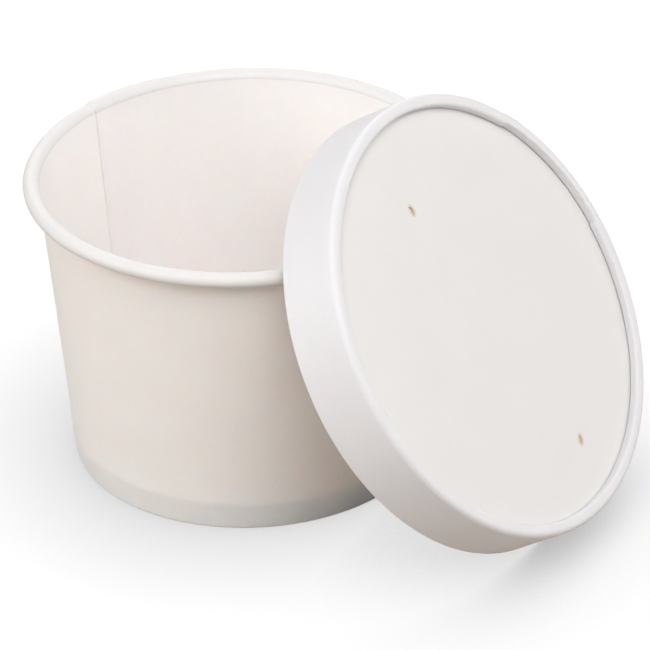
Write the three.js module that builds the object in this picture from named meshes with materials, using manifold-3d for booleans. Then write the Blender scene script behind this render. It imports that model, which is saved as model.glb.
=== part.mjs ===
// A paper soup container, empty, with its lid leaning on the rim. Millimetres, +Z up.
// Every sheet of board is a mid-line with the board's thickness, swept round its own axis.
import * as THREE from 'three';
import { mergeVertices } from 'three/addons/utils/BufferGeometryUtils.js';
import Module from 'manifold-3d';

const degrees = THREE.MathUtils.degToRad;

// The board
const PAPER = 0.42;
const LAP_STEP = 0.3;
const COLUMNS = 64;
const LAP_EDGE = degrees(0.35);
const NEAR_COLUMN = degrees(1.5);
const QUARTER = Math.PI / 2;
const ROLL_STEP = degrees(30);
const BEND_STEP = degrees(45);

// The cup
const RIM_RADIUS = 45;
const CUP_HEIGHT = 63.5;
const BEAD_RADIUS = 1.52;
const NECK_RADIUS = 41.85;
const BASE_RADIUS = 37.3;
const BAND_HEIGHT = 6.2;
const BAND_BULGE = 0.25;
const BULGE_END = 14;
const FOLD_RADIUS = 0.3;
const INFOLD_HEIGHT = 5.2;
const LAYER_GAP = 0.15;
const SKIRT_FOOT = 1.1;
const BOTTOM_BEND = 0.6;
const CUP_LAP = { start: degrees(136.5), way: -1, width: degrees(11.5), blend: degrees(18) };

// The roll of the rim: where its spiral tightens, where it ends and how tight it is there
const ROLL_BOTTOM = degrees(-90);
const ROLL_END = degrees(-240);
const ROLL_END_RADIUS = 0.76;

// The lid, with z = 0 at its open edge
const LID_RADIUS = 46.2;
const LID_HEIGHT = 13.5;
const LID_BEAD_WIDTH = 2.7;
const LID_BEAD_ROUND = 1.2;
const LID_BEAD_INNER_ROUND = 0.65;
const LID_GAP = 0.3;
const DISC_DEPTH = 2;
const FLANGE_HEIGHT = 0.8;
const FLANGE_BEND = 0.6;
const LID_LAP = { start: degrees(88.6), way: 1, width: degrees(40.1), blend: degrees(18) };
const LAP_SETBACK = 0.4;

// The two vents in the lid's disc, each a blunt crescent: where it lies and which way it bulges
const VENTS = [
  { radius: 27, turn: degrees(190), aim: degrees(92) },
  { radius: 33, turn: degrees(9.7), aim: degrees(59) },
];
const VENT_LENGTH = 2.1;
const VENT_BULGE = 1.1;
const VENT_HOLLOW = 0.5;
const VENT_STEP = degrees(30);
const CUTTER_LENGTH = 2;
const SAME_POINT = 1e-5;

// How the lid leans: its axis tips this far from upright, towards this compass turn
const LEAN = degrees(56.9);
const FACING = degrees(-31.7);
const SIDE_SLIP = -2.1;
const LEAN_GAP = 0.3;

const WHITE = { color: 0xe8e4de, roughness: 0.55, metalness: 0 };
const LINER = { color: 0xece5dd, roughness: 0.4, metalness: 0 };
const LID_WHITE = { color: 0xe6e6e8, roughness: 0.5, metalness: 0 };
const DISC_WHITE = { color: 0xe8e5e2, roughness: 0.5, metalness: 0 };

// Points round an ellipse, from one angle to another, both included
function arc(centreR, centreZ, radiusR, radiusZ, from, to, step) {
  const count = Math.round(Math.abs(to - from) / step);
  return Array.from({ length: count + 1 }, (_, i) => {
    const angle = from + (to - from) * i / count;
    return { r: centreR + radiusR * Math.cos(angle), z: centreZ + radiusZ * Math.sin(angle), angle };
  });
}

// The board's outline in section: out along its right side and back along its left side
function boardOutline(midline) {
  const sides = midline.map((point, i) => {
    const before = midline[Math.max(i - 1, 0)];
    const after = midline[Math.min(i + 1, midline.length - 1)];
    const normal = new THREE.Vector2(before.z - after.z, after.r - before.r).normalize();
    return [-1, 1].map((side) => ({
      ...point,
      side,
      r: point.r === 0 ? 0 : point.r + side * normal.x * PAPER / 2,
      z: point.z + side * normal.y * PAPER / 2,
      normalR: side * normal.x,
      normalZ: side * normal.y,
    }));
  });
  return [...sides.map(([right]) => right), ...sides.map(([, left]) => left).reverse()];
}

// The azimuths of the section's copies: an even set, with more where the board's ends lap
function azimuthsWith(lap) {
  const offsets = [
    -lap.blend, -lap.blend / 2, -LAP_EDGE, 0,
    lap.width, lap.width + LAP_EDGE, lap.width + lap.blend / 2,
  ];
  const special = offsets.map((offset) => lap.start + lap.way * offset);
  const even = Array.from({ length: COLUMNS }, (_, i) => 4 * QUARTER * i / COLUMNS);
  const clear = even.filter((azimuth) => special.every((other) => Math.abs(azimuth - other) > NEAR_COLUMN));
  return [...clear, ...special].sort((a, b) => a - b);
}

// How much of the lap's step shows at an azimuth, on the inner face, the outer face and the rolled face.
// The end that lies inside starts the lap and runs on its way; the other end lies over it outside.
function lapShares(lap, azimuth) {
  const past = lap.way * (azimuth - lap.start);
  const first = -LAP_EDGE / 2;
  const last = lap.width + LAP_EDGE / 2;
  const before = past < first ? THREE.MathUtils.smoothstep(past, -lap.blend, -LAP_EDGE) : 0;
  const doubled = past >= first && past <= last ? 1 : 0;
  const after = past > last ? 1 - THREE.MathUtils.smoothstep(past, lap.width, lap.width + lap.blend) : 0;
  return { inner: before, outer: before + doubled, rolled: doubled + after, doubled };
}

// A closed body from a section's outline, swept round Z; points on the axis become single points
function sweep(outline, azimuths, shifted) {
  const positions = [];
  const addPoint = (r, z, azimuth) => {
    positions.push(r * Math.cos(azimuth), r * Math.sin(azimuth), z);
    return positions.length / 3 - 1;
  };
  const rows = outline.map((point) => {
    if (point.r === 0) {
      const pole = addPoint(0, point.z, 0);
      return azimuths.map(() => pole);
    }
    return azimuths.map((azimuth) => {
      const { r, z } = shifted(point, azimuth);
      return addPoint(r, z, azimuth);
    });
  });
  const index = [];
  const open = outline[0].r === 0;
  for (let i = 0; i < rows.length - (open ? 1 : 0); i++) {
    const row = rows[i];
    const next = rows[(i + 1) % rows.length];
    for (let j = 0; j < azimuths.length; j++) {
      const k = (j + 1) % azimuths.length;
      if (row[j] !== row[k]) index.push(row[j], row[k], next[k]);
      if (next[j] !== next[k]) index.push(row[j], next[k], next[j]);
    }
  }
  const geometry = new THREE.BufferGeometry();
  geometry.setAttribute('position', new THREE.Float32BufferAttribute(positions, 3));
  geometry.setIndex(index);
  return geometry;
}

function named(name, geometry, look) {
  geometry.computeVertexNormals();
  const mesh = new THREE.Mesh(geometry, new THREE.MeshStandardMaterial({ ...look, flatShading: true }));
  mesh.name = name;
  return mesh;
}

// The cup's outer face: a steep band round the base, a soft bulge over it, then a straight cone
const TAPER = (NECK_RADIUS - BASE_RADIUS) / (CUP_HEIGHT - 2 * BEAD_RADIUS);
const BAND_SLOPE = TAPER + BAND_BULGE / BAND_HEIGHT;

function wallRadius(z) {
  if (z <= BAND_HEIGHT) return BASE_RADIUS + BAND_SLOPE * z;
  const fade = THREE.MathUtils.clamp((BULGE_END - z) / (BULGE_END - BAND_HEIGHT), 0, 1);
  return BASE_RADIUS + TAPER * z + BAND_BULGE * fade * fade;
}

// A layer inside the base: its mid-line lies this many boards and gaps in from the wall's
function layerRadius(z, layersIn) {
  return wallRadius(z) - PAPER / 2 - layersIn * (PAPER + LAYER_GAP);
}

// The rim's mid-line: an ellipse over the top, a circle outside, then a tightening spiral
function rimRoll() {
  const centreR = RIM_RADIUS - BEAD_RADIUS;
  const centreZ = CUP_HEIGHT - BEAD_RADIUS;
  const round = BEAD_RADIUS - PAPER / 2;
  const reach = centreR - layerRadius(centreZ, 0);
  const top = arc(centreR, centreZ, reach, round, 2 * QUARTER, QUARTER, ROLL_STEP);
  const outside = arc(centreR, centreZ, round, round, QUARTER, ROLL_BOTTOM, ROLL_STEP);
  const inside = arc(0, 0, 1, 1, ROLL_BOTTOM, ROLL_END, ROLL_STEP).map(({ r, z, angle }) => {
    const share = (angle - ROLL_BOTTOM) / (ROLL_END - ROLL_BOTTOM);
    const radius = THREE.MathUtils.lerp(round, ROLL_END_RADIUS, share);
    return { r: centreR + radius * r, z: centreZ + radius * z, angle };
  });
  return [...top, ...outside.slice(1), ...inside.slice(1)].map((point) => {
    const onWall = THREE.MathUtils.clamp(point.angle / QUARTER - 1, 0, 1);
    // The lap's step is gone half-way along the part that the roll hides
    const toEnd = (point.angle - ROLL_END) / (ROLL_BOTTOM - ROLL_END);
    return { ...point, wall: onWall, proud: (1 - onWall) * THREE.MathUtils.clamp(2 * toEnd - 1, 0, 1) };
  });
}

// From the top of the infold, down and round the base, up the wall and into the roll
function cupWallMidline() {
  const inner = layerRadius(FOLD_RADIUS, 2) + FOLD_RADIUS;
  const outer = layerRadius(FOLD_RADIUS, 0) - FOLD_RADIUS;
  const foot = PAPER / 2 + FOLD_RADIUS;
  const infold = [{ r: layerRadius(INFOLD_HEIGHT, 2), z: INFOLD_HEIGHT, wall: -1 }];
  const turnIn = arc(inner, foot, FOLD_RADIUS, FOLD_RADIUS, -2 * QUARTER, -QUARTER, BEND_STEP);
  const turnOut = arc(outer, foot, FOLD_RADIUS, FOLD_RADIUS, -QUARTER, 0, BEND_STEP);
  const fold = [...turnIn, ...turnOut].map((point) => ({ ...point, wall: Math.sin(point.angle + QUARTER) }));
  const heights = [
    BAND_HEIGHT, (BAND_HEIGHT + BULGE_END) / 2, BULGE_END, CUP_HEIGHT / 2, CUP_HEIGHT - 4 * BEAD_RADIUS,
  ];
  const wall = heights.map((z) => ({ r: layerRadius(z, 0), z, wall: 1 }));
  return [...infold, ...fold, ...wall, ...rimRoll()];
}

function cupWall() {
  const shifted = (point, azimuth) => {
    const shares = lapShares(CUP_LAP, azimuth);
    const share = point.side < 0 ? shares.outer * point.wall : shares.inner * Math.max(point.wall, 0);
    const proud = point.side > 0 && point.proud ? LAP_STEP * shares.rolled * point.proud : 0;
    return {
      r: point.r + LAP_STEP * share + proud * point.normalR,
      z: point.z + proud * point.normalZ,
    };
  };
  return sweep(boardOutline(cupWallMidline()), azimuthsWith(CUP_LAP), shifted);
}

// The bottom: a disc whose edge turns down between the wall and its infold
function cupBottom() {
  const level = BAND_HEIGHT;
  const edge = layerRadius(level, 1);
  const bend = arc(edge - BOTTOM_BEND, level - BOTTOM_BEND, BOTTOM_BEND, BOTTOM_BEND, QUARTER, 0, BEND_STEP);
  const midline = [{ r: 0, z: level }, ...bend, { r: layerRadius(SKIRT_FOOT, 1), z: SKIRT_FOOT }];
  return sweep(boardOutline(midline), azimuthsWith(CUP_LAP), (point) => point);
}

// The lid's ring: a band whose top edge turns over, flat on top, and down on to the disc
function lidRing() {
  const outerRound = LID_BEAD_ROUND - PAPER / 2;
  const innerRound = LID_BEAD_INNER_ROUND - PAPER / 2;
  const outerR = LID_RADIUS - LID_BEAD_ROUND;
  const innerR = LID_RADIUS - LID_BEAD_WIDTH + LID_BEAD_INNER_ROUND;
  const outerLevel = LID_HEIGHT - LID_BEAD_ROUND;
  const innerLevel = LID_HEIGHT - LID_BEAD_INNER_ROUND;
  const skirt = [0, LID_HEIGHT / 2].map((z) => ({ r: LID_RADIUS - PAPER / 2, z, angle: 0 }));
  const outside = arc(outerR, outerLevel, outerRound, outerRound, 0, QUARTER, ROLL_STEP);
  const inside = arc(innerR, innerLevel, innerRound, innerRound, QUARTER, 2 * QUARTER, ROLL_STEP);
  const foot = { r: innerR - innerRound, z: LID_HEIGHT - DISC_DEPTH + LID_GAP, angle: 2 * QUARTER };
  const midline = [...skirt, ...outside, ...inside, foot].map((point) => ({
    ...point,
    band: Math.max(Math.cos(point.angle), 0),
    leg: Math.max(-Math.cos(point.angle), 0),
  }));
  const shifted = (point, azimuth) => {
    const shares = lapShares(LID_LAP, azimuth);
    const step = LAP_STEP * (point.side < 0 ? shares.outer : shares.inner);
    return { r: point.r + step * point.band + LAP_SETBACK * shares.doubled * point.leg, z: point.z };
  };
  return sweep(boardOutline(midline), azimuthsWith(LID_LAP), shifted);
}

// The lid's disc: flat, with its edge turned up inside the ring
function lidDiscBlank() {
  const level = LID_HEIGHT - DISC_DEPTH - PAPER / 2;
  const edge = LID_RADIUS - PAPER - LID_GAP - PAPER / 2;
  const bend = arc(edge - FLANGE_BEND, level + FLANGE_BEND, FLANGE_BEND, FLANGE_BEND, -QUARTER, 0, BEND_STEP);
  const midline = [{ r: 0, z: level }, ...bend, { r: edge, z: LID_HEIGHT - DISC_DEPTH + FLANGE_HEIGHT }];
  return sweep(boardOutline(midline), azimuthsWith(LID_LAP), (point) => point);
}

// A crescent between two half ellipses, long enough to pass through the disc
function ventCutter({ radius, turn, aim }) {
  const half = VENT_LENGTH / 2;
  const bulge = arc(0, 0, VENT_BULGE, half, -QUARTER, QUARTER, VENT_STEP);
  const hollow = arc(0, 0, VENT_HOLLOW, half, QUARTER, -QUARTER, VENT_STEP);
  const outline = [...bulge.slice(0, -1), ...hollow.slice(0, -1)].map(({ r, z }) => new THREE.Vector2(r, z));
  const crescent = new THREE.Shape(outline);
  const cutter = new THREE.ExtrudeGeometry(crescent, { depth: CUTTER_LENGTH, bevelEnabled: false });
  cutter.rotateZ(aim);
  const middle = LID_HEIGHT - DISC_DEPTH - CUTTER_LENGTH / 2;
  cutter.translate(radius * Math.cos(turn), radius * Math.sin(turn), middle);
  return cutter;
}

function toSolid(wasm, geometry) {
  const plain = geometry.clone();
  plain.deleteAttribute('normal');
  plain.deleteAttribute('uv');
  const merged = mergeVertices(plain, SAME_POINT);
  return new wasm.Manifold(new wasm.Mesh({
    numProp: 3,
    vertProperties: new Float32Array(merged.attributes.position.array),
    triVerts: new Uint32Array(merged.index.array),
  }));
}

function toGeometry(solid) {
  const { vertProperties, triVerts } = solid.getMesh();
  const geometry = new THREE.BufferGeometry();
  geometry.setAttribute('position', new THREE.BufferAttribute(new Float32Array(vertProperties), 3));
  geometry.setIndex(new THREE.BufferAttribute(new Uint32Array(triVerts), 1));
  return geometry;
}

async function lidDisc() {
  const wasm = await Module();
  wasm.setup();
  const cut = VENTS.reduce((solid, vent) => solid.subtract(toSolid(wasm, ventCutter(vent))),
    toSolid(wasm, lidDiscBlank()));
  return toGeometry(cut);
}

// The lid stands on its open edge and its disc leans on the rim's bead, a small gap away
function leanLid(lid) {
  const flat = Math.sin(LEAN);
  const up = Math.cos(LEAN);
  const rimReach = (RIM_RADIUS - BEAD_RADIUS) * flat + (CUP_HEIGHT - BEAD_RADIUS) * up + BEAD_RADIUS;
  const discUnderside = LID_HEIGHT - DISC_DEPTH - PAPER;
  const height = LID_RADIUS * flat;
  const away = (rimReach + LEAN_GAP - discUnderside - height * up) / flat;
  lid.rotation.set(0, LEAN, FACING, 'ZYX');
  lid.position.set(
    away * Math.cos(FACING) - SIDE_SLIP * Math.sin(FACING),
    away * Math.sin(FACING) + SIDE_SLIP * Math.cos(FACING),
    height,
  );
}

const cup = new THREE.Group();
cup.add(named('cup_wall', cupWall(), WHITE));
cup.add(named('cup_bottom', cupBottom(), LINER));

const lid = new THREE.Group();
lid.add(named('lid_ring', lidRing(), LID_WHITE));
lid.add(named('lid_disc', await lidDisc(), DISC_WHITE));
leanLid(lid);

// The origin is on the table, under the middle of the whole
const container = new THREE.Group();
container.add(cup, lid);
container.updateMatrixWorld(true);
const bounds = new THREE.Box3().setFromObject(container, true);
const middle = bounds.getCenter(new THREE.Vector3());
container.position.set(-middle.x, -middle.y, -bounds.min.z);

export default container;
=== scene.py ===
"""The looks of an empty paper soup container whose lid leans on its rim."""
import math

import bpy
import numpy as np
from mathutils import Matrix, Vector


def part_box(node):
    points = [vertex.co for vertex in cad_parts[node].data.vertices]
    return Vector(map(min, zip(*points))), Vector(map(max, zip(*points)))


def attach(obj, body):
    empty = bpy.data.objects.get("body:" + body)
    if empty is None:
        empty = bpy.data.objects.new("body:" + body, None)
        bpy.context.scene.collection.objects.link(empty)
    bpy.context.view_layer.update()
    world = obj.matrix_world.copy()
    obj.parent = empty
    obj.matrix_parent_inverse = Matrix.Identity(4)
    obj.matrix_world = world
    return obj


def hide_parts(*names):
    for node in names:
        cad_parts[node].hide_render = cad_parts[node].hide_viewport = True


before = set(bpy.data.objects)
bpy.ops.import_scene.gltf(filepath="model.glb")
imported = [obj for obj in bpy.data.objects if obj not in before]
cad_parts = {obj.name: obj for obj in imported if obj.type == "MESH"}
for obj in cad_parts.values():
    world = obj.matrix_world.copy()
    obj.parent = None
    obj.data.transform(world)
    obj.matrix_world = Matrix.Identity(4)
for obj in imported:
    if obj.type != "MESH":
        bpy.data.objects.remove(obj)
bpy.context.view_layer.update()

# Lengths are in millimetres until a mesh is made
MM = 0.001
QUARTER = math.pi / 2
TURN = 2 * math.pi

# The board
PAPER = 0.42
LAP_STEP = 0.3
LAP_EDGE = math.radians(0.25)
ROLLED_EDGE = math.radians(1.2)

# The cup
RIM_RADIUS = 45
CUP_HEIGHT = 63.5
BEAD_RADIUS = 1.52
NECK_RADIUS = 41.85
BASE_RADIUS = 37.3
BAND_HEIGHT = 6.2
BAND_BULGE = 0.25
BULGE_END = 14
FOLD_RADIUS = 0.3
INFOLD_HEIGHT = 5.2
INFOLD_FOOT = 1
WALL_FOOT = 1.2
LAYER_GAP = 0.15
SKIRT_FOOT = 1.1
BOTTOM_BEND = 0.6
CUP_LAP = {"start": math.radians(136.5), "way": -1, "width": math.radians(11.5), "blend": math.radians(18)}
ROLL_BOTTOM = math.radians(-90)
ROLL_END = math.radians(-240)
ROLL_END_RADIUS = 0.76

# The lid, with z = 0 at its open edge
LID_RADIUS = 46.2
LID_HEIGHT = 13.5
LID_BEAD_WIDTH = 2.7
LID_BEAD_ROUND = 1.2
LID_BEAD_INNER_ROUND = 0.65
LID_GAP = 0.3
DISC_DEPTH = 2
FLANGE_HEIGHT = 0.8
FLANGE_BEND = 0.6
LID_LAP = {"start": math.radians(88.6), "way": 1, "width": math.radians(40.1), "blend": math.radians(18)}
LAP_SETBACK = 0.4
VENTS = [
    {"radius": 27, "turn": math.radians(190), "aim": math.radians(92)},
    {"radius": 33, "turn": math.radians(9.7), "aim": math.radians(59)},
]
VENT_LENGTH = 2.1
VENT_BULGE = 1.1
VENT_HOLLOW = 0.5
CUTTER_LENGTH = 2

# The raw board and painted shade round each vent: half its width, length and depth, and how far its middle
# lies from the vent's. Its edge fades between two shares of that size and wavers by another.
FRAY_SHADE_SIZE = (1.05, 1.5, 1)
FRAY_SHADE_MIDDLE = 0.75
# Tan of raw board mixed with painted shade of the hollow behind the vent
FRAY_SHADE_COLOUR = (0.7, 0.56, 0.41)
FRAY_SHADE_FADE = (0.8, 1.4)
FRAY_SHADE_WAVER = 0.6
FRAY_SHADE_GRAIN = 2.5

# How the lid leans
LEAN = math.radians(56.9)
FACING = math.radians(-31.7)
SIDE_SLIP = -2.1
LEAN_GAP = 0.3

# The finishes of the cup's sheet, in the order of its materials. LINED and ROLLED are one lining board,
# painted lighter inside the cup and painted darker over the rim
OUTER, LINED, ROLLED, CUT = range(4)

# How far red, green and blue light spread inside the board, as shares of the material's spread
GLOW_RADIUS = (1.0, 0.75, 0.6)

# How fine the surfaces are
COLUMNS = 480
FINE_STEP = math.radians(10)
SHARP_EDGE = math.radians(40)

# How the board is uneven: seed, waves round the axis and height of each ripple
RIM_WAVES = (4, (3, 5, 8, 13, 21), 0.03)
RIM_CREASES = (5, (97, 131, 163), 0.002)
LEG_WAVES = (7, (2, 5, 9, 14), 0.05)
LEG_PUCKERS = (8, (61, 83, 118, 149), 0.03)
PUCKER_DIP = 0.5
KNURLS = 120
KNURL_DEPTH = 0.06

# The grain of the board, in features per mm, and how deep its slow warp is
CLOUD_GRAIN = 0.09
FIBRE_GRAIN = 1.6
FIBRE_STRETCH = (1, 1, 0.35)
GLOSS_GRAIN = 0.25
TOOTH_GRAIN = 2.5
WARP_GRAIN = 0.06
FIBRE_SHARE = 0.8
GLOSS_RANGE = 0.06
WARP = 0.2
BUMP_SHARE = 0.5
COATING_IOR = 1.45

# The lamps are square soft boxes, with their distance and size in metres. Azimuth 0 is the +X side
# and 90 the far side.
LAMP_DISTANCE = 1.2
LAMP_SIZE = 0.8
LAMPS = [
    {"name": "left", "azimuth": 190, "elevation": 25, "watts": 7.9},
    {"name": "left_front", "azimuth": 235, "elevation": 35, "watts": 0.7},
    {"name": "front", "azimuth": 277, "elevation": 55, "watts": 8.7},
    {"name": "top", "azimuth": 260, "elevation": 80, "watts": 1.6},
    {"name": "facing_lid", "azimuth": 328, "elevation": 35, "watts": 4.3},
    {"name": "right", "azimuth": 20, "elevation": 25, "watts": 3.5},
    {"name": "back", "azimuth": 90, "elevation": 25, "watts": 5.2},
]
WORLD_LIGHT = 0.005

# The floor: half its width in metres, and over how many mm a painted shadow dims its shine near the
# container
GROUND_HALF = 4.0
SHADE_REACH = 40
SHADE_LEAST = 0.4


def smoothstep(value, low, high):
    share = np.clip((value - low) / (high - low), 0, 1)
    return share * share * (3 - 2 * share)


def ripple(azimuths, seed, waves, height):
    """A seamless uneven line round the axis, between minus and plus its height."""
    random = np.random.default_rng(seed)
    phases = random.uniform(0, TURN, len(waves))
    weights = random.uniform(0.5, 1, len(waves))
    total = sum(w * np.sin(n * azimuths + p) for n, p, w in zip(waves, phases, weights))
    return height * total / weights.sum()


def arc(centre_r, centre_z, radius_r, radius_z, start, end, step=FINE_STEP):
    """Points round an ellipse, from one angle to another, both included."""
    count = max(round(abs(end - start) / step), 1)
    return [
        {
            "r": centre_r + radius_r * math.cos(angle),
            "z": centre_z + radius_z * math.sin(angle),
            "angle": angle,
        }
        for angle in np.linspace(start, end, count + 1)
    ]


def board_outline(midline):
    """The board in section: out along its right side and back along its left side."""
    right, left = [], []
    for i, point in enumerate(midline):
        before = midline[max(i - 1, 0)]
        after = midline[min(i + 1, len(midline) - 1)]
        normal = Vector((before["z"] - after["z"], after["r"] - before["r"])).normalized()
        for side, points in ((-1, right), (1, left)):
            on_axis = point["r"] == 0
            points.append({
                **point,
                "side": side,
                "r": 0 if on_axis else point["r"] + side * normal.x * PAPER / 2,
                "z": point["z"] + side * normal.y * PAPER / 2,
                "normal_r": side * normal.x,
                "normal_z": side * normal.y,
            })
    return right + left[::-1]


def column(points, name):
    """One value of every point, or 0 where it has none, as a column that spreads over the azimuths."""
    return np.array([point.get(name, 0) for point in points], float)[:, None]


def azimuths_with(lap):
    """An even set of azimuths, with a sharp pair at each end of the lap."""
    special = lap["start"] + lap["way"] * np.array([-LAP_EDGE, 0, lap["width"], lap["width"] + LAP_EDGE])
    even = np.arange(COLUMNS) * TURN / COLUMNS
    clear = even[np.abs(even[:, None] - special).min(axis=1) > LAP_EDGE]
    return np.sort(np.concatenate([clear, special]))


def lap_shares(lap, azimuths):
    """How much of the lap's step shows: on the inner, the outer and the rolled face."""
    past = lap["way"] * (azimuths - lap["start"])
    first, last = -LAP_EDGE / 2, lap["width"] + LAP_EDGE / 2
    before = np.where(past < first, smoothstep(past, -lap["blend"], -LAP_EDGE), 0)
    doubled = ((past >= first) & (past <= last)).astype(float)
    after = 1 - smoothstep(past, lap["width"], lap["width"] + lap["blend"])
    rolled = smoothstep(past, -ROLLED_EDGE, ROLLED_EDGE) * after
    return {"inner": before, "outer": before + doubled, "rolled": rolled, "doubled": doubled}


def jumps(share):
    """The columns in which a share changes all at once."""
    return np.abs(np.roll(share, -1) - share) > 0.9


def swept_mesh(name, radii, heights, azimuths, on_axis, finishes=None):
    """A closed mesh in millimetres from the section's points (rows) at every azimuth (columns)."""
    points, rows = [], []
    for r, z in zip(radii, heights):
        first = len(points)
        if on_axis and r[0] == 0:
            points.append((0, 0, z[0]))
            rows.append([first] * len(azimuths))
        else:
            points.extend(zip(r * np.cos(azimuths), r * np.sin(azimuths), z))
            rows.append(range(first, first + len(azimuths)))
    faces, face_finishes = [], []
    pairs = zip(rows, rows[1:] if on_axis else rows[1:] + rows[:1])
    for i, (row, above) in enumerate(pairs):
        for j in range(len(azimuths)):
            k = (j + 1) % len(azimuths)
            corners = dict.fromkeys((row[j], row[k], above[k], above[j]))
            if len(corners) > 2:
                faces.append(tuple(corners))
                face_finishes.append(0 if finishes is None else finishes[i, j])
    mesh = bpy.data.meshes.new(name)
    mesh.from_pydata(points, [], faces)
    mesh.polygons.foreach_set("material_index", face_finishes)
    return mesh


def piece(name, mesh, place, node, slot, *materials):
    """Puts a finished mesh in the scene: in metres, in place of its CAD node."""
    mesh.transform(Matrix.Scale(MM, 4) @ place)
    mesh.shade_smooth()
    mesh.set_sharp_from_angle(angle=SHARP_EDGE)
    for material in materials:
        mesh.materials.append(material)
    obj = bpy.data.objects.new(name, mesh)
    bpy.context.scene.collection.objects.link(obj)
    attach(obj, "root")
    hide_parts(node)


# The cup's outer face: a steep band round the base, a soft bulge over it, then a straight cone
TAPER = (NECK_RADIUS - BASE_RADIUS) / (CUP_HEIGHT - 2 * BEAD_RADIUS)
BAND_SLOPE = TAPER + BAND_BULGE / BAND_HEIGHT


def wall_radius(z):
    if z <= BAND_HEIGHT:
        return BASE_RADIUS + BAND_SLOPE * z
    fade = min(max((BULGE_END - z) / (BULGE_END - BAND_HEIGHT), 0), 1)
    return BASE_RADIUS + TAPER * z + BAND_BULGE * fade * fade


def layer_radius(z, layers_in):
    """The mid-line of a layer this many boards and gaps in from the wall's."""
    return wall_radius(z) - PAPER / 2 - layers_in * (PAPER + LAYER_GAP)


def rim_roll():
    """The rim's mid-line: an ellipse over the top, a circle outside, then a tightening spiral."""
    centre_r = RIM_RADIUS - BEAD_RADIUS
    centre_z = CUP_HEIGHT - BEAD_RADIUS
    round_radius = BEAD_RADIUS - PAPER / 2
    reach = centre_r - layer_radius(centre_z, 0)
    top = arc(centre_r, centre_z, reach, round_radius, math.pi, QUARTER)
    outside = arc(centre_r, centre_z, round_radius, round_radius, QUARTER, ROLL_BOTTOM)
    inside = []
    for point in arc(0, 0, 1, 1, ROLL_BOTTOM, ROLL_END):
        share = (point["angle"] - ROLL_BOTTOM) / (ROLL_END - ROLL_BOTTOM)
        radius = round_radius + (ROLL_END_RADIUS - round_radius) * share
        inside.append({
            "r": centre_r + radius * point["r"],
            "z": centre_z + radius * point["z"],
            "angle": point["angle"],
        })
    roll = top + outside[1:] + inside[1:]
    for point in roll:
        quarters = point["angle"] / QUARTER
        hidden = (point["angle"] - ROLL_END) / (ROLL_BOTTOM - ROLL_END) * 2 - 1
        point["wall"] = min(max(quarters - 1, 0), 1)
        point["proud"] = min(max(2 - quarters, 0), 1) * min(max(hidden, 0), 1)
    return roll


def cup_wall_midline():
    """From the top of the infold, down and round the base, up the wall and into the roll."""
    inner = layer_radius(FOLD_RADIUS, 2) + FOLD_RADIUS
    outer = layer_radius(FOLD_RADIUS, 0) - FOLD_RADIUS
    foot = PAPER / 2 + FOLD_RADIUS
    infold = [
        {"r": layer_radius(z, 2), "z": z, "wall": -1, "knurl": 1}
        for z in np.linspace(INFOLD_HEIGHT, INFOLD_FOOT, 8)
    ]
    turn_in = arc(inner, foot, FOLD_RADIUS, FOLD_RADIUS, -math.pi, -QUARTER)
    turn_out = arc(outer, foot, FOLD_RADIUS, FOLD_RADIUS, -QUARTER, 0)
    for point in turn_in + turn_out:
        point["wall"] = math.sin(point["angle"] + QUARTER)
    heights = np.concatenate([
        np.linspace(WALL_FOOT, BAND_HEIGHT, 7),
        np.linspace(BAND_HEIGHT, BULGE_END, 12)[1:],
        np.linspace(BULGE_END, CUP_HEIGHT - 3 * BEAD_RADIUS, 12)[1:],
    ])
    wall = [{"r": layer_radius(z, 0), "z": z, "wall": 1} for z in heights]
    return infold + turn_in + turn_out + wall + rim_roll()


def cup_wall_mesh():
    points = board_outline(cup_wall_midline())
    azimuths = azimuths_with(CUP_LAP)
    shares = lap_shares(CUP_LAP, azimuths)
    right = column(points, "side") < 0
    wall = column(points, "wall")
    share = np.where(right, shares["outer"] * wall, shares["inner"] * np.maximum(wall, 0))
    proud = np.where(right, 0, column(points, "proud"))
    uneven = ripple(azimuths, *RIM_WAVES) + ripple(azimuths, *RIM_CREASES)
    bead = proud * (LAP_STEP * shares["rolled"] + uneven)
    knurl = np.where(right, column(points, "knurl"), 0) * KNURL_DEPTH * np.sin(KNURLS * azimuths)
    radii = column(points, "r") + LAP_STEP * share + bead * column(points, "normal_r") + knurl
    heights = column(points, "z") + bead * column(points, "normal_z")
    rolled = ~right & (column(points, "proud") > 0)
    finishes = np.where(right, OUTER, np.where(rolled, ROLLED, LINED)).repeat(len(azimuths), axis=1)
    cut = np.where(right, jumps(shares["outer"]), jumps(shares["inner"]))
    finishes[cut & ~rolled] = CUT
    return swept_mesh("cup_wall_board", radii, heights, azimuths, on_axis=False, finishes=finishes)


def cup_bottom_mesh():
    edge = layer_radius(BAND_HEIGHT, 1)
    across = [{"r": r, "z": BAND_HEIGHT} for r in np.linspace(0, edge - 2 * BOTTOM_BEND, 14)]
    bend = arc(edge - BOTTOM_BEND, BAND_HEIGHT - BOTTOM_BEND, BOTTOM_BEND, BOTTOM_BEND, QUARTER, 0)
    levels = np.linspace(BAND_HEIGHT - 2 * BOTTOM_BEND, SKIRT_FOOT, 5)
    skirt = [{"r": layer_radius(z, 1), "z": z} for z in levels]
    points = board_outline(across + bend + skirt)
    azimuths = azimuths_with(CUP_LAP)
    spread = np.ones_like(azimuths)
    radii, heights = column(points, "r") * spread, column(points, "z") * spread
    return swept_mesh("cup_bottom_board", radii, heights, azimuths, on_axis=True)


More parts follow.
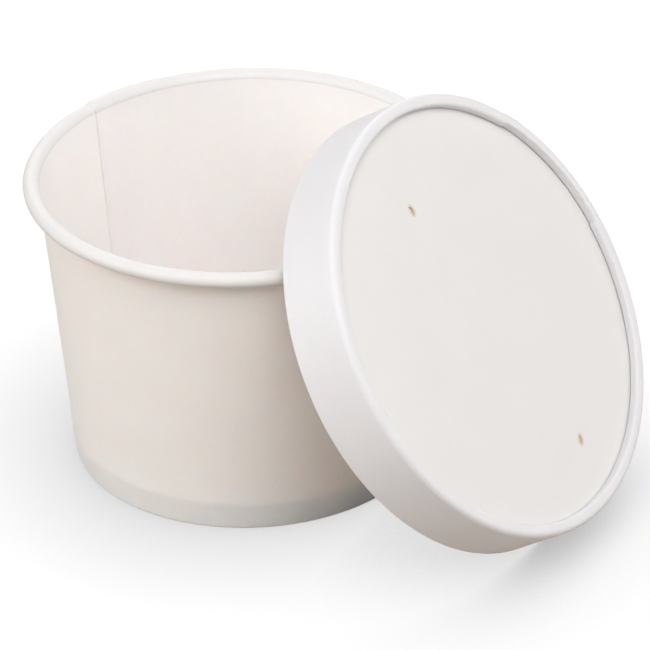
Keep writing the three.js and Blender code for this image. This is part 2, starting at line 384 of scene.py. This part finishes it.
def lid_ring_mesh():
    outer_round = LID_BEAD_ROUND - PAPER / 2
    inner_round = LID_BEAD_INNER_ROUND - PAPER / 2
    outer_r = LID_RADIUS - LID_BEAD_ROUND
    inner_r = LID_RADIUS - LID_BEAD_WIDTH + LID_BEAD_INNER_ROUND
    outer_level = LID_HEIGHT - LID_BEAD_ROUND
    inner_level = LID_HEIGHT - LID_BEAD_INNER_ROUND
    levels = np.linspace(0, outer_level - 1, 14)
    skirt = [{"r": LID_RADIUS - PAPER / 2, "z": z, "angle": 0} for z in levels]
    outside = arc(outer_r, outer_level, outer_round, outer_round, 0, QUARTER)
    inside = arc(inner_r, inner_level, inner_round, inner_round, QUARTER, math.pi)
    foot = [{"r": inner_r - inner_round, "z": LID_HEIGHT - DISC_DEPTH + LID_GAP, "angle": math.pi}]
    points = board_outline(skirt + outside + inside + foot)
    azimuths = azimuths_with(LID_LAP)
    shares = lap_shares(LID_LAP, azimuths)
    right = column(points, "side") < 0
    band = np.maximum(np.cos(column(points, "angle")), 0)
    leg = np.maximum(-np.cos(column(points, "angle")), 0)
    over = np.sin(column(points, "angle"))
    share = np.where(right, shares["outer"], shares["inner"])
    uneven = ripple(azimuths, *LEG_WAVES)
    pucker = ripple(azimuths, *LEG_PUCKERS)
    on_leg = leg * (LAP_SETBACK * shares["doubled"] + uneven + pucker)
    radii = column(points, "r") + LAP_STEP * share * band + on_leg
    heights = column(points, "z") - np.abs(over * pucker * PUCKER_DIP)
    return swept_mesh("lid_ring_board", radii, heights, azimuths, on_axis=False)


def vent_outline():
    """A crescent between two half ellipses."""
    half = VENT_LENGTH / 2
    bulge = arc(0, 0, VENT_BULGE, half, -QUARTER, QUARTER)
    hollow = arc(0, 0, VENT_HOLLOW, half, QUARTER, -QUARTER)
    return [(point["r"], point["z"]) for point in bulge[:-1] + hollow[:-1]]


def prism(name, outline, low, high):
    """A closed prism over an outline that runs anticlockwise."""
    count = len(outline)
    points = [(x, y, z) for z in (low, high) for x, y in outline]
    faces = [tuple(range(count))[::-1], tuple(range(count, 2 * count))]
    faces += [(i, (i + 1) % count, (i + 1) % count + count, i + count) for i in range(count)]
    mesh = bpy.data.meshes.new(name)
    mesh.from_pydata(points, [], faces)
    return mesh


def vent_place(vent):
    spot = (vent["radius"] * math.cos(vent["turn"]), vent["radius"] * math.sin(vent["turn"]), 0)
    return Matrix.Translation(spot) @ Matrix.Rotation(vent["aim"], 4, "Z")


def cut_vents(disc, raw_edge):
    """Cuts the vents through the disc; the cut's walls keep the cutter's raw board."""
    cutters = []
    low = LID_HEIGHT - DISC_DEPTH - CUTTER_LENGTH / 2
    for i, vent in enumerate(VENTS):
        mesh = prism(f"vent_cutter_{i}", vent_outline(), low, low + CUTTER_LENGTH)
        mesh.transform(vent_place(vent))
        mesh.materials.append(raw_edge)
        cutter = bpy.data.objects.new(mesh.name, mesh)
        bpy.context.scene.collection.objects.link(cutter)
        cutters.append(cutter)
        cut = disc.modifiers.new(mesh.name, "BOOLEAN")
        cut.operation = "DIFFERENCE"
        cut.solver = "EXACT"
        cut.material_mode = "TRANSFER"
        cut.object = cutter
    graph = bpy.context.evaluated_depsgraph_get()
    result = bpy.data.meshes.new_from_object(disc.evaluated_get(graph))
    for obj in [disc, *cutters]:
        bpy.data.objects.remove(obj)
    return result


def lid_disc_mesh(board, raw_edge):
    level = LID_HEIGHT - DISC_DEPTH - PAPER / 2
    edge = LID_RADIUS - PAPER - LID_GAP - PAPER / 2
    across = [{"r": r, "z": level} for r in np.linspace(0, edge - 2 * FLANGE_BEND, 24)]
    bend = arc(edge - FLANGE_BEND, level + FLANGE_BEND, FLANGE_BEND, FLANGE_BEND, -QUARTER, 0)
    top = [{"r": edge, "z": LID_HEIGHT - DISC_DEPTH + FLANGE_HEIGHT}]
    points = board_outline(across + bend + top)
    azimuths = azimuths_with(LID_LAP)
    spread = np.ones_like(azimuths)
    radii, heights = column(points, "r") * spread, column(points, "z") * spread
    mesh = swept_mesh("lid_disc_board", radii, heights, azimuths, on_axis=True)
    mesh.materials.append(board)
    disc = bpy.data.objects.new("disc_blank", mesh)
    bpy.context.scene.collection.objects.link(disc)
    return cut_vents(disc, raw_edge)


def lid_place():
    """The lid stands on its open edge and its disc leans on the rim's bead, a small gap away."""
    flat, up = math.sin(LEAN), math.cos(LEAN)
    rim_reach = (RIM_RADIUS - BEAD_RADIUS) * flat + (CUP_HEIGHT - BEAD_RADIUS) * up + BEAD_RADIUS
    underside = LID_HEIGHT - DISC_DEPTH - PAPER
    height = LID_RADIUS * flat
    away = (rim_reach + LEAN_GAP - underside - height * up) / flat
    spot = (
        away * math.cos(FACING) - SIDE_SLIP * math.sin(FACING),
        away * math.sin(FACING) + SIDE_SLIP * math.cos(FACING),
        height,
    )
    return Matrix.Translation(spot) @ Matrix.Rotation(FACING, 4, "Z") @ Matrix.Rotation(LEAN, 4, "Y")


def noise(tree, grain, detail, stretch=(1, 1, 1)):
    """Noise in the object's own space, with this many features per mm."""
    mapping = tree.nodes.new("ShaderNodeMapping")
    mapping.inputs["Scale"].default_value = stretch
    place = tree.nodes.new("ShaderNodeTexCoord").outputs["Object"]
    tree.links.new(place, mapping.inputs["Vector"])
    texture = tree.nodes.new("ShaderNodeTexNoise")
    texture.inputs["Scale"].default_value = grain / MM
    texture.inputs["Detail"].default_value = detail
    tree.links.new(mapping.outputs["Vector"], texture.inputs["Vector"])
    return texture.outputs["Fac"]


def ramp(tree, value, low, high, start=0, end=1):
    """Turns the range from start to end into the range from low to high."""
    node = tree.nodes.new("ShaderNodeMapRange")
    node.inputs["From Min"].default_value = start
    node.inputs["From Max"].default_value = end
    node.inputs["To Min"].default_value = low
    node.inputs["To Max"].default_value = high
    tree.links.new(value, node.inputs["Value"])
    return node.outputs["Result"]


def mottled(tree, colour, value, depth):
    """Multiplies a colour, given as numbers or as a socket, by from 1 - depth to 1 + depth."""
    node = tree.nodes.new("ShaderNodeMix")
    node.data_type = "RGBA"
    node.blend_type = "MULTIPLY"
    node.inputs["Factor"].default_value = 1
    if isinstance(colour, tuple):
        node.inputs["A"].default_value = (*colour, 1)
    else:
        tree.links.new(colour, node.inputs["A"])
    tree.links.new(ramp(tree, value, 1 - depth, 1 + depth), node.inputs["B"])
    return node.outputs["Result"]


def bump(tree, height, depth, under=None):
    """A relief this deep in mm, on top of the one under it."""
    node = tree.nodes.new("ShaderNodeBump")
    node.inputs["Strength"].default_value = BUMP_SHARE
    node.inputs["Distance"].default_value = depth * MM
    tree.links.new(height, node.inputs["Height"])
    if under is not None:
        tree.links.new(under, node.inputs["Normal"])
    return node.outputs["Normal"]


def board_material(name, colour, roughness, mottle=0.02, tooth=0.04, glow=0.0, spread=PAPER):
    """Coated white board: faint mottling, short fibres, a fine tooth and a slow warp in its gloss.

    The tooth is its depth in mm. The glow is the share of the light that spreads inside the board,
    over about the spread in mm.
    """
    material = bpy.data.materials.new(name)
    material.use_nodes = True
    tree = material.node_tree
    cloud = mottled(tree, colour, noise(tree, CLOUD_GRAIN, 3), mottle)
    fibres = mottled(tree, cloud, noise(tree, FIBRE_GRAIN, 4, FIBRE_STRETCH), mottle * FIBRE_SHARE)
    gloss = ramp(tree, noise(tree, GLOSS_GRAIN, 4), roughness - GLOSS_RANGE, roughness + GLOSS_RANGE)
    fine = bump(tree, noise(tree, TOOTH_GRAIN, 5), tooth)
    slow = bump(tree, noise(tree, WARP_GRAIN, 2), WARP, fine)
    shader = tree.nodes["Principled BSDF"]
    tree.links.new(fibres, shader.inputs["Base Color"])
    tree.links.new(gloss, shader.inputs["Roughness"])
    tree.links.new(slow, shader.inputs["Normal"])
    shader.inputs["IOR"].default_value = COATING_IOR
    shader.inputs["Subsurface Weight"].default_value = glow
    shader.inputs["Subsurface Radius"].default_value = GLOW_RADIUS
    shader.inputs["Subsurface Scale"].default_value = spread * MM
    return material


def cup_board():
    return board_material("cup_board", (0.875, 0.85, 0.835), 0.55, glow=0.95, spread=1.5 * PAPER)


# The lining board is painted lighter than the rim, as painted light inside the cup
def cup_lining_painted_light():
    return board_material("cup_lining_painted_light", (0.95, 0.905, 0.895), 0.4, tooth=0.02, glow=0.6)


# The same lining board over the rolled rim, painted darker as painted shade for the strong light on the
# top
def cup_rim_painted_shade():
    return board_material("cup_rim_painted_shade", (0.785, 0.765, 0.75), 0.55, tooth=0.02, glow=0.3)


def cut_board():
    return board_material("cut_board", (0.86, 0.82, 0.78), 0.8, mottle=0.04, glow=0.3)


def bottom_board():
    return board_material("bottom_board", (0.91, 0.88, 0.87), 0.4, tooth=0.02, glow=0.3)


def ring_board():
    return board_material("ring_board", (0.8, 0.79, 0.805), 0.5, glow=0.3)


def fray_and_painted_shade(material, vent, place):
    """Raw board shows where the punch tore the coating round a vent, and the patch also paints in the
    shade of the hollow seen through the vent.
    """
    tree = material.node_tree
    middle = place @ vent_place(vent) @ Matrix.Translation((FRAY_SHADE_MIDDLE, 0, LID_HEIGHT - DISC_DEPTH))
    mapping = tree.nodes.new("ShaderNodeMapping")
    mapping.vector_type = "TEXTURE"
    mapping.inputs["Location"].default_value = middle.translation * MM
    mapping.inputs["Rotation"].default_value = middle.to_euler()
    mapping.inputs["Scale"].default_value = Vector(FRAY_SHADE_SIZE) * MM
    tree.links.new(tree.nodes.new("ShaderNodeTexCoord").outputs["Object"], mapping.inputs["Vector"])
    distance = tree.nodes.new("ShaderNodeVectorMath")
    distance.operation = "LENGTH"
    tree.links.new(mapping.outputs["Vector"], distance.inputs[0])
    grain = tree.nodes.new("ShaderNodeTexNoise")
    grain.inputs["Scale"].default_value = FRAY_SHADE_GRAIN
    grain.inputs["Detail"].default_value = 4
    tree.links.new(mapping.outputs["Vector"], grain.inputs["Vector"])
    torn_and_shaded = tree.nodes.new("ShaderNodeMath")
    torn_and_shaded.operation = "MULTIPLY_ADD"
    torn_and_shaded.inputs[1].default_value = FRAY_SHADE_WAVER
    tree.links.new(grain.outputs["Fac"], torn_and_shaded.inputs[0])
    tree.links.new(distance.outputs["Value"], torn_and_shaded.inputs[2])
    share = ramp(tree, torn_and_shaded.outputs["Value"], 1, 0, *FRAY_SHADE_FADE)
    base = tree.nodes["Principled BSDF"].inputs["Base Color"]
    mix = tree.nodes.new("ShaderNodeMix")
    mix.data_type = "RGBA"
    tree.links.new(share, mix.inputs["Factor"])
    tree.links.new(base.links[0].from_socket, mix.inputs["A"])
    # Raw board tan that also stands as painted shade of the hollow behind the narrow vent
    mix.inputs["B"].default_value = (*FRAY_SHADE_COLOUR, 1)
    tree.links.new(mix.outputs["Result"], base)


def disc_board(place):
    material = board_material("disc_board", (0.795, 0.775, 0.765), 0.5)
    for vent in VENTS:
        fray_and_painted_shade(material, vent, place)
    return material


def raw_board():
    return board_material("raw_board", (0.72, 0.6, 0.46), 0.9, mottle=0.1)


def ground_material(name, colour):
    material = bpy.data.materials.new(name)
    material.use_nodes = True
    shader = material.node_tree.nodes["Principled BSDF"]
    shader.inputs["Base Color"].default_value = (*colour, 1)
    shader.inputs["Roughness"].default_value = 0.9
    return material


def shine_with_painted_shadow(material):
    """Makes a surface shine white, with a painted soft shadow that dims it close to what stands on it."""
    tree = material.node_tree
    openness = tree.nodes.new("ShaderNodeAmbientOcclusion")
    openness.inputs["Distance"].default_value = SHADE_REACH * MM
    openness.samples = 4
    # Painted shadow: ambient occlusion dims the floor's own glow close to what stands on it
    dimmed = ramp(tree, openness.outputs["AO"], SHADE_LEAST, 1)
    shader = tree.nodes["Principled BSDF"]
    shader.inputs["Emission Color"].default_value = (1, 1, 1, 1)
    tree.links.new(dimmed, shader.inputs["Emission Strength"])


def add_ground(name, material):
    """A wide flat square that the container stands on."""
    corners = [(GROUND_HALF * x, GROUND_HALF * y, 0) for x, y in ((-1, -1), (1, -1), (1, 1), (-1, 1))]
    mesh = bpy.data.meshes.new(name)
    mesh.from_pydata(corners, [], [(0, 1, 2, 3)])
    mesh.materials.append(material)
    ground = bpy.data.objects.new(name, mesh)
    ground.visible_shadow = False
    bpy.context.scene.collection.objects.link(ground)
    return ground


def add_floor():
    """A pale floor to look at, and a warm grey card in its place that throws less light up."""
    pale = ground_material("floor", (0.03, 0.03, 0.03))
    # The floor's glow carries a painted soft shadow round the container
    shine_with_painted_shadow(pale)
    floor = add_ground("floor", pale)
    floor.visible_diffuse = False
    floor.visible_glossy = False
    card = add_ground("bounce_card", ground_material("bounce_card", (0.51, 0.455, 0.405)))
    card.visible_camera = False


def add_lamp(name, azimuth, elevation, watts):
    """A square soft box aimed at the container."""
    data = bpy.data.lights.new(name, "AREA")
    data.shape = "SQUARE"
    data.size = LAMP_SIZE
    data.energy = watts
    light = bpy.data.objects.new(name, data)
    turn, rise = math.radians(azimuth), math.radians(elevation)
    aim = Vector((0, 0, 0.04))
    way = Vector((math.cos(turn) * math.cos(rise), math.sin(turn) * math.cos(rise), math.sin(rise)))
    light.location = aim + way * LAMP_DISTANCE
    light.rotation_mode = "QUATERNION"
    light.rotation_quaternion = (-way).to_track_quat("-Z", "Y")
    bpy.context.scene.collection.objects.link(light)


def add_world():
    world = bpy.data.worlds.new("studio")
    world.use_nodes = True
    background = world.node_tree.nodes["Background"]
    background.inputs["Color"].default_value = (1, 1, 1, 1)
    background.inputs["Strength"].default_value = WORLD_LIGHT
    bpy.context.scene.world = world


def add_camera(cup_centre):
    """The photograph's view: fitted to the rim, the base and the lid in it."""
    back = 817
    height = 509.5
    yaw = 0.01929
    pitch = 0.53486
    roll = 0.02935
    focal_pixels = 4563.9
    frame_pixels = 650
    sensor = 36
    forward = Vector((math.sin(yaw) * math.cos(pitch), math.cos(yaw) * math.cos(pitch), -math.sin(pitch)))
    level = Vector((math.cos(yaw), -math.sin(yaw), 0))
    down = forward.cross(level)
    right = math.cos(roll) * level + math.sin(roll) * down
    up = math.sin(roll) * level - math.cos(roll) * down
    data = bpy.data.cameras.new("camera")
    data.sensor_width = sensor
    data.lens = focal_pixels * sensor / frame_pixels
    data.clip_start = 0.01
    camera = bpy.data.objects.new("camera", data)
    turned = Matrix((right, up, -forward)).transposed().to_4x4()
    camera.matrix_world = Matrix.Translation(cup_centre + Vector((0, -back, height)) * MM) @ turned
    bpy.context.scene.collection.objects.link(camera)
    bpy.context.scene.camera = camera


low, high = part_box("cup_wall")
cup_centre = Vector(((low.x + high.x) / 2, (low.y + high.y) / 2, 0))
cup_place = Matrix.Translation(cup_centre / MM)
on_cup = cup_place @ lid_place()

piece("cup_wall_board", cup_wall_mesh(), cup_place, "cup_wall", "cup_board",
      cup_board(), cup_lining_painted_light(), cup_rim_painted_shade(), cut_board())
piece("cup_bottom_board", cup_bottom_mesh(), cup_place, "cup_bottom", "bottom_board", bottom_board())
piece("lid_ring_board", lid_ring_mesh(), on_cup, "lid_ring", "ring_board", ring_board())
piece("lid_disc_board", lid_disc_mesh(disc_board(on_cup), raw_board()), on_cup, "lid_disc", "disc_board")

add_floor()
for lamp in LAMPS:
    add_lamp(**lamp)
add_world()
add_camera(cup_centre)
bpy.context.scene.view_settings.view_transform = "Standard"
bpy.context.scene.cycles.use_denoising = True
